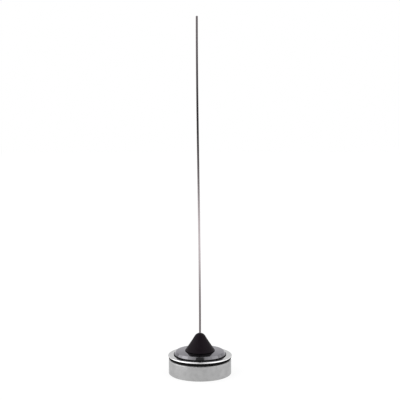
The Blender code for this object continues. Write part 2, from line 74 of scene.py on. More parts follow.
# Gasket in the rim: how high its lips are, and how full their curve is, from 0 for square to 1 for round
RIM_LIP = 0.00025
RIM_LIP_CURVE = 0.6

# Form of every thread, in shares of a turn: half its crest, half its root and how soft their edges are
CREST_HALF = 0.125
ROOT_HALF = 0.0625
THREAD_BLUR = 0.018

# Cap
CAP_EDGE = 0.0002
CAP_SEAT_EDGE = 0.0002
CAP_CROWN = 0.0003
CAP_DRAFT = 0.001
CAP_SEAT_RADIUS = 0.0092
CAP_HOLE_RADIUS = 0.0045
CAP_ROOF_UNDERSIDE = 0.01195
SPIGOT_RADIUS = 0.0149
SPIGOT_BORE_RADIUS = 0.0131

# Trim ring
TRIM_EDGE = 0.00055

# Cone, its stem and the room inside it for the stud
NOSE_RADIUS = 0.0038
CONE_FLARE = 0.0001
CONE_EDGE = 0.00015
STEM_RADIUS = 0.0044
SEAL_GROOVE_RADIUS = 0.00675
SEAL_GROOVE_HALF = 0.00055
SEAL_GROOVE_TOP = 0.01495
POCKET_ACROSS_FLATS = 0.0072
WHIP_HOLE_RADIUS = 0.000735

# Stud: a sleeve for the whip, a hexagonal head and a threaded shank, bored for the contact
STUD_RADIUS = 0.0025
STUD_THREAD_DEPTH = 0.00027
STUD_THREAD_PITCH = 0.0005
STUD_THREAD_TOP = 0.0142
STUD_HEAD_BOTTOM = 0.0151
STUD_HEAD_TOP = 0.0181
STUD_HEAD_ACROSS_FLATS = 0.007
STUD_HEAD_CHAMFER = 0.0003
SLEEVE_RADIUS = 0.001935
WHIP_BORE_BOTTOM = 0.013
CONTACT_BORE_RADIUS = 0.00175
CONTACT_BORE_TOP = 0.0115
RETAINER_SEAT_RADIUS = 0.0021
RETAINER_SEAT_TOP = 0.006
RETAINER_BORE_RADIUS = 0.0013

# Contact and its spring
CONTACT_HEAD_RADIUS = 0.00165
CONTACT_HEAD_BOTTOM = 0.006
CONTACT_HEAD_TOP = 0.0075
CONTACT_TIP_RADIUS = 0.0012
CONTACT_PEG_RADIUS = 0.00085
SPRING_WIRE = 0.0003
SPRING_OPEN_TURNS = 4
SPRING_CLOSED_PITCH = 1.2

# Disc
DISC_COLLAR_RADIUS = 0.004
DISC_COLLAR_DROP = 0.0005
DISC_HOLE_RADIUS = 0.0026

# Whip
WHIP_RADIUS = 0.000635
WHIP_FOOT_RADIUS = WHIP_RADIUS * 0.75
WHIP_FOOT_EDGE = WHIP_RADIUS / 4
WHIP_LEAN = 0.0019
WHIP_TIP_EDGE = 0.0004

# Painted highlight and shade along the whip: how light its steel is painted, by its share of the way from the
# cone to the tip, and the steel's hue
WHIP_PAINTED_LIGHT_TINTS = (
    (0, 0.16),
    (0.15, 0.2),
    (0.29, 0.6),
    (0.45, 0.14),
    (0.62, 0.01),
    (0.76, 0.03),
    (1, 0.12),
)
WHIP_HUE = (1.12, 1, 1.03)

# The part of a noise's range in which a surface changes from one look to another
NOISE_LOW = 0.3
NOISE_HIGH = 0.7

# The studio in reflections: white, with a grey ceiling and one dark side, as shares of full light
CEILING_SHADE = 0.5
DARK_SIDE_SHADE = 0.24

# Where each begins and is full: sines of the height in the sky, and cosines from the dark side's middle
CEILING_START = 0.25
CEILING_END = 0.6
DARK_SIDE = (0, -0.766, 0.643)
DARK_SIDE_START = 0.75
DARK_SIDE_END = 0.9
DARK_SIDE_FOOT = 0.4
DARK_SIDE_FULL = 0.55

# Floor: its size, its paper, and how strongly it shows where it is seen
FLOOR_RADIUS = 6
FLOOR_SIDES = 64
FLOOR_COLOUR = (0.9, 0.9, 0.9, 1)
FLOOR_STRENGTH = 1.03

# Height on the Z axis at which the lamps point
LAMP_TARGET = 0.01

# Camera: its place, its tilt up from straight down in degrees, and its lens and sensor in millimetres
CAMERA_PLACE = (0, -0.5, 0.1455)
CAMERA_TILT = 85.48
CAMERA_LENS = 74.97
CAMERA_SENSOR = 36
CAMERA_NEAR = 0.01
CAMERA_FAR = 50

# How finely shapes are divided
LARGE_STEPS = 256
MEDIUM_STEPS = 192
SMALL_STEPS = 96
EDGE_STEPS = 6
CROWN_STEPS = 32
SPRING_STEPS_A_TURN = 36
WIRE_SIDES = 16
WHIP_SIDES = 24
WHIP_POINTS = 72

# Where a thread's rows of points lie in each turn, as shares of it, closer together where its form bends
THREAD_ROWS = (0, 0.045, 0.0625, 0.08, 0.16, 0.26, 0.357, 0.375, 0.393)
THREAD_ROWS += (0.5, 0.607, 0.625, 0.643, 0.74, 0.84, 0.92, 0.9375, 0.955)

# Points closer than this are one, and edges sharper than this, in degrees, aren't shaded smooth
WELD = 0.0000002
SHARP_ANGLE = 35

# How far from its corner the point beside a rounding stands, where the rounding's own end is at 1
ROUNDING_HOLD = 1.15


def arc(centre_radius, centre_height, radius, start, end, steps):
    """Points on an arc from one angle to another, in degrees. 0 points outwards and 90 up."""
    points = []
    for step in range(steps + 1):
        angle = math.radians(start + (end - start) * step / steps)
        points.append((centre_radius + radius * math.cos(angle), centre_height + radius * math.sin(angle)))
    return points


def curve_between(start, middle, end, steps):
    """Points on a curve that leaves start towards middle and arrives at end from middle."""
    points = []
    for step in range(steps + 1):
        share = step / steps
        weights = ((1 - share) ** 2, 2 * share * (1 - share), share**2)
        point = [0, 0]
        for weight, corner in zip(weights, (start, middle, end)):
            point[0] += weight * corner[0]
            point[1] += weight * corner[1]
        points.append(tuple(point))
    return points


def rounded(corners, steps=EDGE_STEPS):
    """Closed outline through corners, which are a radius, a height and a rounding.

    A point on each side of a rounding holds it in place when the outline is shaded smooth.
    """
    points = []
    count = len(corners)
    for index, (radius, height, rounding) in enumerate(corners):
        here = Vector((radius, height))
        if not rounding:
            points.append((radius, height))
            continue
        before = (Vector(corners[index - 1][:2]) - here).normalized()
        after = (Vector(corners[(index + 1) % count][:2]) - here).normalized()
        half = before.angle(after) / 2
        reach = rounding / math.tan(half)
        centre = here + (before + after).normalized() * rounding / math.sin(half)
        first = here + before * reach - centre
        last = here + after * reach - centre
        sweep = first.angle(last)
        points.append(tuple(here + before * reach * ROUNDING_HOLD))
        for step in range(steps + 1):
            share = step / steps
            spoke = first * math.sin((1 - share) * sweep) + last * math.sin(share * sweep)
            points.append(tuple(centre + spoke / math.sin(sweep)))
        points.append(tuple(here + after * reach * ROUNDING_HOLD))
    return points


def hexagonal(across_flats):
    """Radius of a hexagon at an angle, with corners on the X axis."""

    def radius(angle):
        return across_flats / 2 / math.cos(angle % (math.pi / 3) - math.pi / 6)

    return radius


def narrower(radius, limit):
    """The smaller of a hexagon's radius and a chamfer's."""
    return lambda angle: min(radius(angle), limit)


def thread_form(turn):
    """How far down a thread's flank a point is, by its share of a turn: 0 on the crest, 1 at the root."""
    depth = 0
    shifts = (-THREAD_BLUR, 0, THREAD_BLUR)
    for shift in shifts:
        distance = abs((turn + shift) % 1 - 0.5)
        share = (distance - CREST_HALF) / (0.5 - CREST_HALF - ROOT_HALF)
        depth += min(max(share, 0), 1) / len(shifts)
    return depth


def thread_radius(thread, height, angle):
    """Radius of a thread's surface. The root lies outside the crest where the depth is above 0."""
    turn = height / thread["pitch"] - angle / (2 * math.pi)
    radius = thread["crest"] + thread["depth"] * thread_form(turn)
    for start, end, entry in thread["entries"]:
        slope = entry + (height - start) / (end - start) * (thread["crest"] - entry)
        if thread["depth"] > 0:
            radius = max(radius, slope)
        else:
            radius = min(radius, slope)
    return radius


def thread_end(thread, height):
    """Ring at a thread's end, as a function of the angle."""
    return (lambda angle: thread_radius(thread, height, angle), height)


def add_rings(mesh, rings, steps, closed):
    """Adds faces between rings. A ring of no radius is a single point."""
    rows = []
    for radius, height in rings:
        if radius == 0:
            rows.append([mesh.verts.new((0, 0, height))] * steps)
            continue
        row = []
        for step in range(steps):
            angle = 2 * math.pi * step / steps
            reach = radius(angle) if callable(radius) else radius
            row.append(mesh.verts.new((reach * math.cos(angle), reach * math.sin(angle), height)))
        rows.append(row)
    if closed:
        rows.append(rows[0])
    for upper, lower in zip(rows, rows[1:]):
        for step in range(steps):
            after = (step + 1) % steps
            around = [upper[step], upper[after], lower[after], lower[step]]
            corners = []
            for vertex in around:
                if vertex not in corners:
                    corners.append(vertex)
            if len(corners) > 2:
                mesh.faces.new(corners)


def add_thread(mesh, thread, steps):
    """Adds a thread's helical faces, cut level at both ends. Turns beyond the ends give no faces."""
    bottom, top = thread["bottom"], thread["top"]
    pitch = thread["pitch"]
    first_turn = math.floor(bottom / pitch) - 2
    last_turn = math.ceil(top / pitch) + 1
    rows = []
    for turn in range(first_turn, last_turn + 1):
        for share in THREAD_ROWS:
            row = []
            for step in range(steps + 1):
                angle = 2 * math.pi * step / steps
                height = min(max((turn + share + step / steps) * pitch, bottom), top)
                reach = thread_radius(thread, height, angle)
                row.append((reach * math.cos(angle), reach * math.sin(angle), height))
            rows.append(row)
    for lower, upper in zip(rows, rows[1:]):
        for step in range(steps):
            corners = (lower[step], lower[step + 1], upper[step + 1], upper[step])
            heights = [corner[2] for corner in corners]
            if max(heights) - min(heights) > WELD:
                mesh.faces.new([mesh.verts.new(corner) for corner in corners])


def settle(name, mesh):
    """Makes an object of a mesh, welded, facing outwards and smooth apart from its edges."""
    bmesh.ops.remove_doubles(mesh, verts=mesh.verts, dist=WELD)
    bmesh.ops.dissolve_degenerate(mesh, edges=mesh.edges, dist=WELD)
    bmesh.ops.recalc_face_normals(mesh, faces=mesh.faces)
    data = bpy.data.meshes.new(name)
    mesh.to_mesh(data)
    mesh.free()
    data.shade_smooth()
    data.set_sharp_from_angle(angle=math.radians(SHARP_ANGLE))
    return add_object(name, data)


def add_object(name, data):
    """Puts a mesh, a lamp or a camera into the scene."""
    obj = bpy.data.objects.new(name, data)
    bpy.context.scene.collection.objects.link(obj)
    return obj


def turned(name, rings, steps, closed=True, thread=None):
    """Turns rings into a solid. One with a thread is open there, from its last ring to its first."""
    mesh = bmesh.new()
    add_rings(mesh, rings, steps, closed and thread is None)
    if thread is not None:
        add_thread(mesh, thread, steps)
    return settle(name, mesh)


def tube(name, points, radii, sides):
    """A round wire along points, closed at both ends."""
    mesh = bmesh.new()
    rows = []
    side = Vector((0, 1, 0))
    for index, (point, radius) in enumerate(zip(points, radii)):
        before = points[max(index - 1, 0)]
        after = points[min(index + 1, len(points) - 1)]
        along = (Vector(after) - Vector(before)).normalized()
        across = along.cross(side).normalized()
        side = across.cross(along).normalized()
        row = []
        for step in range(sides):
            angle = 2 * math.pi * step / sides
            spoke = math.cos(angle) * across + math.sin(angle) * side
            row.append(mesh.verts.new(Vector(point) + radius * spoke))
        rows.append(row)
    for lower, upper in zip(rows, rows[1:]):
        for step in range(sides):
            after = (step + 1) % sides
            mesh.faces.new((lower[step], lower[after], upper[after], upper[step]))
    mesh.faces.new(rows[0])
    mesh.faces.new(rows[-1])
    return settle(name, mesh)


def place(obj, surface, node, body="antenna"):
    """Dresses a piece, makes it stand for its CAD node and lets it ride on its body."""
    obj.data.materials.append(surface)
    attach(obj, body)
    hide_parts(node)


def make_base_shell(surface):
    """Satin shell with rounded rims, the gasket's recess, the mounting thread and the socket."""
    low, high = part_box("base_shell")
    entry_top = RIM_RECESS_TOP + THREAD_ENTRY_RADIUS - THREAD_RADIUS
    thread = {
        "crest": THREAD_RADIUS,
        "depth": THREAD_DEPTH,
        "pitch": THREAD_PITCH,
        "bottom": RIM_RECESS_TOP,
        "top": DISC_LEDGE,
        "entries": [(RIM_RECESS_TOP, entry_top, THREAD_ENTRY_RADIUS)],
    }
    rings = rounded(
        [
            (SOCKET_RADIUS, DISC_LEDGE, 0),
            (SOCKET_RADIUS, high.z, SMALL_EDGE),
            (high.x, high.z, SHELL_TOP_EDGE),
            (high.x, low.z, SHELL_BOTTOM_EDGE),
            (RIM_RECESS_RADIUS, low.z, SMALL_EDGE),
            (RIM_RECESS_RADIUS, RIM_RECESS_TOP, 0),
        ]
    )
    rings = [thread_end(thread, DISC_LEDGE)] + rings + [thread_end(thread, RIM_RECESS_TOP)]
    place(turned("mounting_shell", rings, LARGE_STEPS, thread=thread), surface, "base_shell")


def make_rim_gasket(surface):
    """Flat rubber ring in the rim, with two raised lips that meet the roof."""
    low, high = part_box("rim_gasket")
    inner = THREAD_ENTRY_RADIUS
    width = (high.x - inner) / 2
    steps = EDGE_STEPS * 2
    rings = [(inner, RIM_RECESS_TOP), (high.x, RIM_RECESS_TOP)]
    for index in (0, 1):
        outer_edge = high.x - index * width
        for step in range(steps + 1):
            share = step / steps
            rise = RIM_LIP * math.sin(math.pi * share) ** RIM_LIP_CURVE
            rings.append((outer_edge - share * width, low.z + RIM_LIP - rise))
    place(turned("roof_seal", rings, LARGE_STEPS), surface, "rim_gasket")


def make_squeezed_ring(name, node, reach, surface):
    """Rubber ring squeezed across the gaps above and below it, with an edge that bulges out to its reach."""
    low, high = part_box(node)
    bottom, top = low.z - GAP, high.z + GAP
    half = (top - bottom) / 2
    rings = arc(reach - half, bottom + half, half, 90, -90, EDGE_STEPS * 2)
    rings += [(SOCKET_RADIUS, bottom), (SOCKET_RADIUS, top)]
    place(turned(name, rings, LARGE_STEPS), surface, node)


def make_trim_ring(surface):
    """Polished ring with a flat top and a broad rounded rim."""
    low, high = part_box("trim_ring")
    rings = rounded(
        [
            (SOCKET_RADIUS, low.z, 0),
            (SOCKET_RADIUS, high.z, 0),
            (high.x, high.z, TRIM_EDGE),
            (high.x, low.z, SMALL_EDGE / 4),
        ],
        EDGE_STEPS * 3,
    )
    place(turned("bright_trim_ring", rings, LARGE_STEPS), surface, "trim_ring")


def make_top_cap(surface):
    """Polished boss: a flat seat for the cone, a soft crown, a rounded shoulder and a spigot."""
    low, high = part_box("top_cap")
    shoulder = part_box("trim_seal")[1].z + GAP
    rings = rounded(
        [
            (CAP_HOLE_RADIUS, high.z, 0),
            (CAP_SEAT_RADIUS, high.z, CAP_SEAT_EDGE),
            (high.x - CAP_DRAFT, high.z - CAP_CROWN, CAP_EDGE),
            (high.x, shoulder, 0),
            (SPIGOT_RADIUS, shoulder, 0),
            (SPIGOT_RADIUS, low.z, SMALL_EDGE),
            (SPIGOT_BORE_RADIUS, low.z, SMALL_EDGE),
            (SPIGOT_BORE_RADIUS, CAP_ROOF_UNDERSIDE, 0),
            (CAP_HOLE_RADIUS, CAP_ROOF_UNDERSIDE, 0),
        ],
        EDGE_STEPS * 3,
    )
    place(turned("polished_boss", rings, LARGE_STEPS), surface, "top_cap")


def cone_side(bottom, top, radius):
    """The cone's outer line, from the whip's hole over the round nose and down the flank to its foot."""
    nose_centre = top - NOSE_RADIUS
    foot = (radius, bottom + CONE_EDGE)
    foot_angle = math.atan2(foot[1] - nose_centre, foot[0])
    foot_distance = math.hypot(foot[0], foot[1] - nose_centre)
    flank_angle = foot_angle + math.acos(NOSE_RADIUS / foot_distance)
    hole_angle = math.acos((WHIP_HOLE_RADIUS + SMALL_EDGE) / NOSE_RADIUS)
    line = arc(0, nose_centre, NOSE_RADIUS, math.degrees(hole_angle), math.degrees(flank_angle), CROWN_STEPS)
    start = line[-1]
    middle = (
        (start[0] + foot[0]) / 2 - 2 * CONE_FLARE * math.cos(flank_angle),
        (start[1] + foot[1]) / 2 - 2 * CONE_FLARE * math.sin(flank_angle),
    )
    line += curve_between(start, middle, foot, CROWN_STEPS)[1:-1]
    return line + arc(radius - CONE_EDGE, bottom + CONE_EDGE, CONE_EDGE, 0, -90, EDGE_STEPS * 2)


def make_cone(surface):
    """Moulded cone with a seal's groove, a stem through the cap and a pocket for the stud's head."""
    low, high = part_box("cone_insulator")
    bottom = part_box("top_cap")[1].z + GAP
    pocket = hexagonal(POCKET_ACROSS_FLATS)
    sleeve_room = SLEEVE_RADIUS + GAP
    sleeve_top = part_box("whip_stud")[1].z + GAP
    rings = cone_side(bottom, high.z, high.x)
    rings += [
        (SEAL_GROOVE_RADIUS + SEAL_GROOVE_HALF, bottom),
        (SEAL_GROOVE_RADIUS + SEAL_GROOVE_HALF, SEAL_GROOVE_TOP),
        (SEAL_GROOVE_RADIUS - SEAL_GROOVE_HALF, SEAL_GROOVE_TOP),
        (SEAL_GROOVE_RADIUS - SEAL_GROOVE_HALF, bottom),
        (STEM_RADIUS, bottom),
        (STEM_RADIUS, low.z + SMALL_EDGE),
        (STEM_RADIUS - SMALL_EDGE, low.z),
        (STUD_RADIUS + GAP, low.z),
        (STUD_RADIUS + GAP, STUD_HEAD_BOTTOM - GAP),
        (pocket, STUD_HEAD_BOTTOM - GAP),
        (pocket, STUD_HEAD_TOP + GAP),
        (sleeve_room, STUD_HEAD_TOP + GAP),
        (sleeve_room, sleeve_top),
        (WHIP_HOLE_RADIUS, sleeve_top),
    ]
    rings.append((WHIP_HOLE_RADIUS, rings[0][1] - SMALL_EDGE))
    place(turned("cone_moulding", rings, MEDIUM_STEPS), surface, "cone_insulator")


def make_stud(surface):
    """Brass stud with a chamfered hexagonal head, a sleeve for the whip and a threaded, bored shank."""
    low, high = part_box("whip_stud")
    thread = {
        "crest": STUD_RADIUS,
        "depth": -STUD_THREAD_DEPTH,
        "pitch": STUD_THREAD_PITCH,
        "bottom": low.z,
        "top": STUD_THREAD_TOP,
        "entries": [(low.z, low.z + STUD_THREAD_DEPTH, STUD_RADIUS - STUD_THREAD_DEPTH)],
    }
    head = hexagonal(STUD_HEAD_ACROSS_FLATS)
    turned_corner = STUD_HEAD_ACROSS_FLATS / 2 + STUD_HEAD_CHAMFER / 3
    outside = [
        thread_end(thread, STUD_THREAD_TOP),
        (STUD_RADIUS - STUD_THREAD_DEPTH, STUD_THREAD_TOP + STUD_THREAD_DEPTH),
        (STUD_RADIUS - STUD_THREAD_DEPTH, STUD_HEAD_BOTTOM),
        (narrower(head, turned_corner), STUD_HEAD_BOTTOM),
        (head, STUD_HEAD_BOTTOM + STUD_HEAD_CHAMFER),
        (head, STUD_HEAD_TOP - STUD_HEAD_CHAMFER),
        (narrower(head, turned_corner), STUD_HEAD_TOP),
        (SLEEVE_RADIUS, STUD_HEAD_TOP),
        (SLEEVE_RADIUS, high.z - SMALL_EDGE),
        (SLEEVE_RADIUS - SMALL_EDGE, high.z),
        (WHIP_HOLE_RADIUS + SMALL_EDGE, high.z),
        (WHIP_HOLE_RADIUS, high.z - SMALL_EDGE),
        (WHIP_HOLE_RADIUS, WHIP_BORE_BOTTOM),
        (0, WHIP_BORE_BOTTOM),
    ]
    bore = [
        (0, CONTACT_BORE_TOP),
        (CONTACT_BORE_RADIUS, CONTACT_BORE_TOP),
        (CONTACT_BORE_RADIUS, RETAINER_SEAT_TOP),
        (RETAINER_SEAT_RADIUS, RETAINER_SEAT_TOP),
        (RETAINER_SEAT_RADIUS, low.z),
        thread_end(thread, low.z),
    ]
    mesh = bmesh.new()
    add_rings(mesh, outside, SMALL_STEPS, False)
    add_rings(mesh, bore, SMALL_STEPS, False)
    add_thread(mesh, thread, SMALL_STEPS)
    place(settle("brass_stud", mesh), surface, "whip_stud")


def make_disc(surface):
    """Nylon disc that closes the socket, with a tapered collar round the stud."""
    low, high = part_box("insulator_disc")
    face = low.z + DISC_COLLAR_DROP
    rings = rounded(
        [
            (high.x, high.z, SMALL_EDGE),
            (high.x, face, SMALL_EDGE),
            (DISC_COLLAR_RADIUS + DISC_COLLAR_DROP, face, SMALL_EDGE),
            (DISC_COLLAR_RADIUS, low.z, SMALL_EDGE),
            (DISC_HOLE_RADIUS, low.z, SMALL_EDGE / 2),
            (DISC_HOLE_RADIUS, high.z, SMALL_EDGE / 2),
        ]
    )
    place(turned("nylon_disc", rings, MEDIUM_STEPS), surface, "insulator_disc")


def make_contact_retainer(surface):
    """Brass ring with a countersunk bore, pressed into the stud's mouth."""
    low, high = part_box("contact_retainer")
    rings = rounded(
        [
            (high.x, high.z, 0),
            (high.x, low.z, SMALL_EDGE / 2),
            (RETAINER_BORE_RADIUS + SMALL_EDGE, low.z, SMALL_EDGE / 4),
            (RETAINER_BORE_RADIUS, low.z + SMALL_EDGE, SMALL_EDGE / 4),
            (RETAINER_BORE_RADIUS, high.z, 0),
        ]
    )
    place(turned("contact_ring", rings, SMALL_STEPS), surface, "contact_retainer")


def make_contact_plunger(surface):
    """Round-ended contact with a head behind the retainer and a peg inside the spring."""
    low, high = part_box("contact_plunger")
    rings = [
        (0, high.z),
        (CONTACT_PEG_RADIUS - SMALL_EDGE, high.z),
        (CONTACT_PEG_RADIUS, high.z - SMALL_EDGE),
        (CONTACT_PEG_RADIUS, CONTACT_HEAD_TOP),
        (CONTACT_HEAD_RADIUS - SMALL_EDGE, CONTACT_HEAD_TOP),
        (CONTACT_HEAD_RADIUS, CONTACT_HEAD_TOP - SMALL_EDGE),
        (CONTACT_HEAD_RADIUS, CONTACT_HEAD_BOTTOM + SMALL_EDGE),
        (CONTACT_HEAD_RADIUS - SMALL_EDGE, CONTACT_HEAD_BOTTOM),
        (CONTACT_TIP_RADIUS, CONTACT_HEAD_BOTTOM),
    ]
    rings += arc(0, low.z + CONTACT_TIP_RADIUS, CONTACT_TIP_RADIUS, 0, -90, CROWN_STEPS // 2)[:-1]
    rings.append((0, low.z))
    place(turned("centre_contact", rings, SMALL_STEPS, closed=False), surface, "contact_plunger", "contact")


def make_contact_spring(surface):
    """Compression spring with a closed turn at each end."""
    low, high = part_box("contact_spring")
    wire_radius = SPRING_WIRE / 2
    coil_radius = high.x - wire_radius
    closed_rise = SPRING_WIRE * SPRING_CLOSED_PITCH
    length = high.z - low.z
    open_rise = (length - SPRING_WIRE - 2 * closed_rise) / SPRING_OPEN_TURNS
    points = []
    for step in range((SPRING_OPEN_TURNS + 2) * SPRING_STEPS_A_TURN + 1):
        turn = step / SPRING_STEPS_A_TURN
        open_turns = min(max(turn - 1, 0), SPRING_OPEN_TURNS)
        rise = open_turns * open_rise + (turn - open_turns) * closed_rise
        angle = 2 * math.pi * turn
        height = low.z + wire_radius + rise
        points.append((coil_radius * math.cos(angle), coil_radius * math.sin(angle), height))
    spring = tube("spring_coil", points, [wire_radius] * len(points), WIRE_SIDES)
    place(spring, surface, "contact_spring")
    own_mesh(spring)


def make_whip(surface):
    """Steel rod, straight in its grip and leaning gently above the cone, with a rounded tip."""
    low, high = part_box("whip")
    cone_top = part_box("cone_insulator")[1].z
    points = [(0, 0, low.z), (0, 0, low.z + WHIP_FOOT_EDGE), (0, 0, (low.z + cone_top) / 2)]
    radii = [WHIP_FOOT_RADIUS, WHIP_RADIUS, WHIP_RADIUS]
    straight_end = high.z - WHIP_TIP_EDGE
    for step in range(WHIP_POINTS + 1):
        share = step / WHIP_POINTS
        lean = WHIP_LEAN * share**2 * (3 - 2 * share)
        points.append((-lean, 0, cone_top + share * (straight_end - cone_top)))
        radii.append(WHIP_RADIUS)
    for reach, height in arc(WHIP_RADIUS - WHIP_TIP_EDGE, straight_end, WHIP_TIP_EDGE, 0, 90, EDGE_STEPS)[1:]:
        points.append((-WHIP_LEAN, 0, height))
        radii.append(reach)
    place(tube("steel_whip", points, radii, WHIP_SIDES), surface, "whip")


def node(tree, kind, inputs=None, **settings):
    """Adds a shader node. An input is a number, a colour or another node's output."""
    made = tree.nodes.new("ShaderNode" + kind)
    for name, value in settings.items():
        setattr(made, name, value)
    for name, value in (inputs or {}).items():
        if isinstance(value, bpy.types.NodeSocket):
            tree.links.new(value, made.inputs[name])
        else:
            made.inputs[name].default_value = value
    return made


def object_coordinates(tree):
    """Places on the piece, in metres."""
    return node(tree, "TexCoord").outputs["Object"]


def turned_coordinates(tree):
    """Distance from the Z axis and height, so that a texture runs round the piece in rings."""
    split = node(tree, "SeparateXYZ", {0: object_coordinates(tree)})
    flat = node(tree, "CombineXYZ", {"X": split.outputs["X"], "Y": split.outputs["Y"]})
    distance = node(tree, "VectorMath", {0: flat.outputs[0]}, operation="LENGTH")
    rings = node(tree, "CombineXYZ", {"X": distance.outputs["Value"], "Z": split.outputs["Z"]})
    return rings.outputs[0]


def drawn_coordinates(tree, squeeze):
    """Places squeezed along Z, so that a texture runs in long streaks."""
    return node(tree, "Mapping", {"Vector": object_coordinates(tree), "Scale": (1, 1, squeeze)}).outputs[0]


def noise(tree, vector, size, detail=4):
    """Cloudy noise whose spots are about so many metres wide."""
    return node(tree, "TexNoise", {"Vector": vector, "Scale": 1 / size, "Detail": detail}).outputs["Fac"]


def patches(tree, size):
    """Noise in patches of a size, over which a surface changes."""
    return noise(tree, object_coordinates(tree), size)


def maths(tree, operation, first, second):
    """Two numbers put together by a sum, a product or the like."""
    return node(tree, "Math", {0: first, 1: second}, operation=operation).outputs[0]


def between(tree, factor, first, last, start=NOISE_LOW, end=NOISE_HIGH):
    """A number that runs from first to last as the factor does from start to end."""
    values = {"Value": factor, "From Min": start, "From Max": end, "To Min": first, "To Max": last}
    return node(tree, "MapRange", values).outputs["Result"]


def colour_between(tree, factor, dark, light):
    """A colour that runs from dark to light over the middle of a noise's range."""
    ramp = node(tree, "ValToRGB", {"Fac": factor})
    ends = zip(ramp.color_ramp.elements, (NOISE_LOW, NOISE_HIGH), (dark, light))
    for element, position, colour in ends:
        element.position = position
        element.color = (*colour, 1)
    return ramp.outputs["Color"]


def tinted_along(tree, tints, hue, bottom, top):
    """A colour that changes smoothly with the height. Tints are shares of the height and their lightness."""
    height = node(tree, "SeparateXYZ", {0: object_coordinates(tree)}).outputs["Z"]
    ramp = node(tree, "ValToRGB", {"Fac": between(tree, height, 0, 1, bottom, top)})
    ramp.color_ramp.interpolation = "B_SPLINE"
    for tint in tints[1:-1]:
        ramp.color_ramp.elements.new(tint[0])
    for element, (share, grey) in zip(ramp.color_ramp.elements, tints):
        element.position = share
        element.color = (grey * hue[0], grey * hue[1], grey * hue[2], 1)
    return ramp.outputs["Color"]


def bump(tree, height, depth, below=None):
    """Relief of a depth in metres, on top of another relief where one is given."""
    inputs = {"Height": height, "Distance": depth}
    if below is not None:
        inputs["Normal"] = below
    return node(tree, "Bump", inputs).outputs["Normal"]


def relief(tree, coordinates, size, detail, depth, below=None):
    """Relief of fine noise, on top of another relief where one is given."""
    return bump(tree, noise(tree, coordinates(tree), size, detail), depth, below)


def new_material(name, metallic=0):
    """A material with the name, and its tree and main shader."""
    made = bpy.data.materials.new(name)
    made.use_nodes = True
    shader = made.node_tree.nodes["Principled BSDF"]
    shader.inputs["Metallic"].default_value = metallic
    return made, made.node_tree, shader


def finish_surface(tree, shader, colour, roughness, normal):
    """Gives a shader its colour, roughness and relief."""
    for name, value in (("Base Color", colour), ("Roughness", roughness), ("Normal", normal)):
        tree.links.new(value, shader.inputs[name])


def satin_nickel():
    """Bead-blasted plating over fine turning marks, cloudier in places."""
    made, tree, shader = new_material("satin_nickel_plate", metallic=1)
    mottle = patches(tree, 0.003)
    cloud = patches(tree, 0.009)
    colour = colour_between(tree, mottle, dark=(0.368, 0.368, 0.369), light=(0.445, 0.444, 0.445))
    roughness = between(tree, cloud, 0.55, 0.47)
    marks = relief(tree, turned_coordinates, size=0.00012, detail=2, depth=0.000006)
    grain = relief(tree, object_coordinates, size=0.00009, detail=3, depth=0.000006, below=marks)
    finish_surface(tree, shader, colour, roughness, grain)
    return made


def polished_chrome():
    """Bright plating with faint hairlines round the ring, greyer where it is seen at a slant."""
    made, tree, shader = new_material("bright_chrome", metallic=1)
    smears = patches(tree, 0.006)
    colour = colour_between(tree, smears, dark=(0.9, 0.9, 0.905), light=(0.94, 0.94, 0.94))
    hairlines = relief(tree, turned_coordinates, size=0.00007, detail=2, depth=0.0000004)
    finish_surface(tree, shader, colour, between(tree, smears, 0.05, 0.08), hairlines)
    shader.inputs["Specular Tint"].default_value = (0.5, 0.5, 0.5, 1)
    return made


def chrome_painted_dark():
    """Polished chrome whose colour is painted dark, a painted reflection of darker surroundings, with faint
    polishing rings and handling smears.
    """
    made, tree, shader = new_material("chrome_painted_dark_reflection", metallic=1)
    smears = patches(tree, 0.004)
    # Painted reflection: the dark colour stands in for darker surroundings mirrored in the chrome
    colour = colour_between(tree, smears, dark=(0.168, 0.165, 0.175), light=(0.198, 0.195, 0.206))
    rings = relief(tree, turned_coordinates, size=0.00016, detail=2, depth=0.0000015)
    finish_surface(tree, shader, colour, between(tree, smears, 0.07, 0.13), rings)
    shader.inputs["Specular Tint"].default_value = (0.86, 0.85, 0.88, 1)
    return made


def black_plastic():
    """Moulded black plastic with a fine even grain."""
    made, tree, shader = new_material("black_moulding")
    cloud = patches(tree, 0.003)
    colour = colour_between(tree, cloud, dark=(0.0075, 0.0045, 0.007), light=(0.0095, 0.0062, 0.009))
    grain = relief(tree, object_coordinates, size=0.00022, detail=5, depth=0.000012)
    finish_surface(tree, shader, colour, between(tree, cloud, 0.42, 0.55), grain)
    shader.inputs["Specular IOR Level"].default_value = 0.06
    return made


def black_rubber():
    """Matt black rubber, a little dusty."""
    made, tree, shader = new_material("seal_rubber")
    dust = patches(tree, 0.0016)
    colour = colour_between(tree, dust, dark=(0.004, 0.004, 0.004), light=(0.008, 0.008, 0.0085))
    grain = relief(tree, object_coordinates, size=0.00015, detail=4, depth=0.00001)
    finish_surface(tree, shader, colour, between(tree, dust, 0.62, 0.8), grain)
    shader.inputs["Specular IOR Level"].default_value = 0.05
    return made


def whip_steel():
    """Drawn stainless rod with streaks along its length, and painted highlight and shade along its height:
    lighter about a third of the way up, darker in its upper half.
    """
    made, tree, shader = new_material("drawn_stainless", metallic=1)
    streaks = noise(tree, drawn_coordinates(tree, squeeze=0.015), size=0.00012, detail=3)
    # Painted highlight and shade along the rod's height, not tarnish
    colour = tinted_along(tree, WHIP_PAINTED_LIGHT_TINTS, WHIP_HUE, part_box("cone_insulator")[1].z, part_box("whip")[1].z)
    roughness = between(tree, streaks, 0.16, 0.26)
    finish_surface(tree, shader, colour, roughness, bump(tree, streaks, depth=0.000004))
    shader.inputs["Specular Tint"].default_value = (0.62, 0.6, 0.61, 1)
    return made


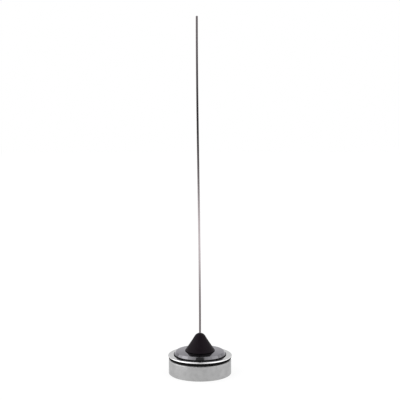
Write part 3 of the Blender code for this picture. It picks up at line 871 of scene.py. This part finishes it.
def brass():
    """Machined brass with turning rings, duller where it has tarnished."""
    made, tree, shader = new_material("turned_brass", metallic=1)
    tarnish = patches(tree, 0.0014)
    colour = colour_between(tree, tarnish, dark=(0.5, 0.34, 0.14), light=(0.72, 0.52, 0.24))
    rings = relief(tree, turned_coordinates, size=0.00008, detail=2, depth=0.000003)
    finish_surface(tree, shader, colour, between(tree, tarnish, 0.36, 0.2), rings)
    return made


def zinc_plate(name, marks_size):
    """Zinc plate with a faint mottle."""
    made, tree, shader = new_material(name, metallic=1)
    mottle = patches(tree, 0.0012)
    colour = colour_between(tree, mottle, dark=(0.5, 0.52, 0.545), light=(0.66, 0.67, 0.67))
    marks = relief(tree, object_coordinates, size=marks_size, detail=3, depth=0.000004)
    finish_surface(tree, shader, colour, between(tree, mottle, 0.42, 0.28), marks)
    return made


def nylon():
    """Natural nylon, slightly cloudy."""
    made, tree, shader = new_material("natural_nylon")
    cloud = patches(tree, 0.003)
    colour = colour_between(tree, cloud, dark=(0.68, 0.65, 0.57), light=(0.77, 0.75, 0.69))
    grain = relief(tree, object_coordinates, size=0.00018, detail=3, depth=0.000006)
    finish_surface(tree, shader, colour, between(tree, cloud, 0.5, 0.38), grain)
    return made


def strength_by_ray(tree, seen, mirrored, elsewhere):
    """A strength of light for rays from the camera or through glass, one for gloss and one for the others."""
    path = node(tree, "LightPath").outputs
    direct = maths(tree, "MAXIMUM", path["Is Camera Ray"], path["Is Transmission Ray"])
    unseen = node(tree, "Mix", {0: path["Is Glossy Ray"], 2: elsewhere, 3: mirrored}).outputs[0]
    return node(tree, "Mix", {0: direct, 2: unseen, 3: seen}).outputs[0]


def make_world(level):
    """White where it is seen, a studio in reflections, and a soft even light of a lower level elsewhere."""
    world = bpy.data.worlds.new("studio")
    world.use_nodes = True
    tree = world.node_tree
    background = tree.nodes["Background"]
    background.inputs["Color"].default_value = (1, 1, 1, 1)
    direction = node(tree, "TexCoord").outputs["Generated"]
    upwards = node(tree, "SeparateXYZ", {0: direction}).outputs["Z"]
    ceiling = between(tree, upwards, 1, CEILING_SHADE, CEILING_START, CEILING_END)
    nearness = node(tree, "VectorMath", {0: direction, 1: DARK_SIDE}, operation="DOT_PRODUCT")
    inside = between(tree, nearness.outputs["Value"], 0, 1, DARK_SIDE_START, DARK_SIDE_END)
    lifted = between(tree, upwards, 0, 1, DARK_SIDE_FOOT, DARK_SIDE_FULL)
    dark_side = between(tree, maths(tree, "MULTIPLY", inside, lifted), 1, DARK_SIDE_SHADE, 0, 1)
    strength = strength_by_ray(tree, 1.0, maths(tree, "MULTIPLY", ceiling, dark_side), level)
    tree.links.new(strength, background.inputs["Strength"])
    bpy.context.scene.world = world


def make_floor(share_white, level):
    """White floor that keeps a faint shadow, and shows nothing from below."""
    mesh = bmesh.new()
    bmesh.ops.create_circle(mesh, cap_ends=True, radius=FLOOR_RADIUS, segments=FLOOR_SIDES)
    floor = settle("floor", mesh)
    made = bpy.data.materials.new("pale_floor")
    made.use_nodes = True
    tree = made.node_tree
    tree.nodes.clear()
    paper = node(tree, "BsdfDiffuse", {"Color": FLOOR_COLOUR})
    glow = node(tree, "Emission", {"Strength": strength_by_ray(tree, FLOOR_STRENGTH, FLOOR_STRENGTH, level)})
    lit = node(tree, "MixShader", {0: share_white, 1: paper.outputs[0], 2: glow.outputs[0]})
    behind = node(tree, "NewGeometry").outputs["Backfacing"]
    clear = node(tree, "BsdfTransparent")
    both = node(tree, "MixShader", {0: behind, 1: lit.outputs[0], 2: clear.outputs[0]})
    node(tree, "OutputMaterial", {"Surface": both.outputs[0]})
    floor.data.materials.append(made)


def hang_lamp(name, light, azimuth, elevation, distance=1):
    """Hangs a lamp so that it points at the base. Azimuth 0 is the camera's side and 90 its right."""
    turn = math.radians(azimuth)
    rise = math.radians(elevation)
    away = Vector((math.sin(turn) * math.cos(rise), -math.cos(turn) * math.cos(rise), math.sin(rise)))
    lamp = add_object(name, light)
    lamp.location = away * distance + Vector((0, 0, LAMP_TARGET))
    lamp.rotation_euler = away.to_track_quat("Z", "Y").to_euler()


def make_sun(name, azimuth, elevation, strength, spread):
    """A distant lamp, whose disc is spread degrees across."""
    light = bpy.data.lights.new(name, "SUN")
    light.energy = strength
    light.angle = math.radians(spread)
    hang_lamp(name, light, azimuth, elevation)


def make_softbox(name, azimuth, elevation, distance, width, height, power):
    """A near lamp with a rectangular face."""
    light = bpy.data.lights.new(name, "AREA")
    light.shape = "RECTANGLE"
    light.size = width
    light.size_y = height
    light.energy = power
    hang_lamp(name, light, azimuth, elevation, distance)


def make_camera():
    """The camera, at the photo's angle."""
    camera = bpy.data.cameras.new("photo_camera")
    camera.sensor_width = CAMERA_SENSOR
    camera.lens = CAMERA_LENS
    camera.clip_start = CAMERA_NEAR
    camera.clip_end = CAMERA_FAR
    holder = add_object("photo_camera", camera)
    holder.location = CAMERA_PLACE
    holder.rotation_euler = (math.radians(CAMERA_TILT), 0, 0)
    bpy.context.scene.camera = holder


def redress(name, surface):
    """Gives a CAD node that stays its finish."""
    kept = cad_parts[name]
    kept.data.materials.clear()
    kept.data.materials.append(surface)


nickel = satin_nickel()
rubber = black_rubber()
brass_surface = brass()
nylon_surface = nylon()
zinc = zinc_plate("zinc_plate", marks_size=0.0002)
make_base_shell(nickel)
make_rim_gasket(rubber)
make_squeezed_ring("body_seal_ring", "body_gasket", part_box("base_shell")[1].x, rubber)
make_trim_ring(polished_chrome())
make_squeezed_ring("cap_seal_ring", "trim_seal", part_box("trim_seal")[1].x, rubber)
make_top_cap(chrome_painted_dark())
make_cone(black_plastic())
make_stud(brass_surface)
make_disc(nylon_surface)
make_contact_retainer(brass_surface)
make_contact_plunger(brass_surface)
make_contact_spring(zinc_plate("spring_wire", marks_size=0.00006))
make_whip(whip_steel())
for fastener in ("stud_nut", "lock_washer", "flat_washer"):
    redress(fastener, zinc)
redress("insulating_washer", nylon_surface)
redress("cone_seal", rubber)

make_world(level=0.6)
make_floor(share_white=0.8, level=0.6)
make_sun("key", azimuth=-70, elevation=52, strength=0.7, spread=60)
make_sun("fill", azimuth=70, elevation=50, strength=0.6, spread=60)
make_sun("top", azimuth=180, elevation=58, strength=0.5, spread=50)
make_softbox("left_softbox", azimuth=-80, elevation=18, distance=1.2, width=1.8, height=1, power=5.8)
make_softbox("right_softbox", azimuth=80, elevation=18, distance=1.2, width=1.8, height=1, power=2.4)
make_camera()

bpy.context.scene.view_settings.view_transform = "Standard"
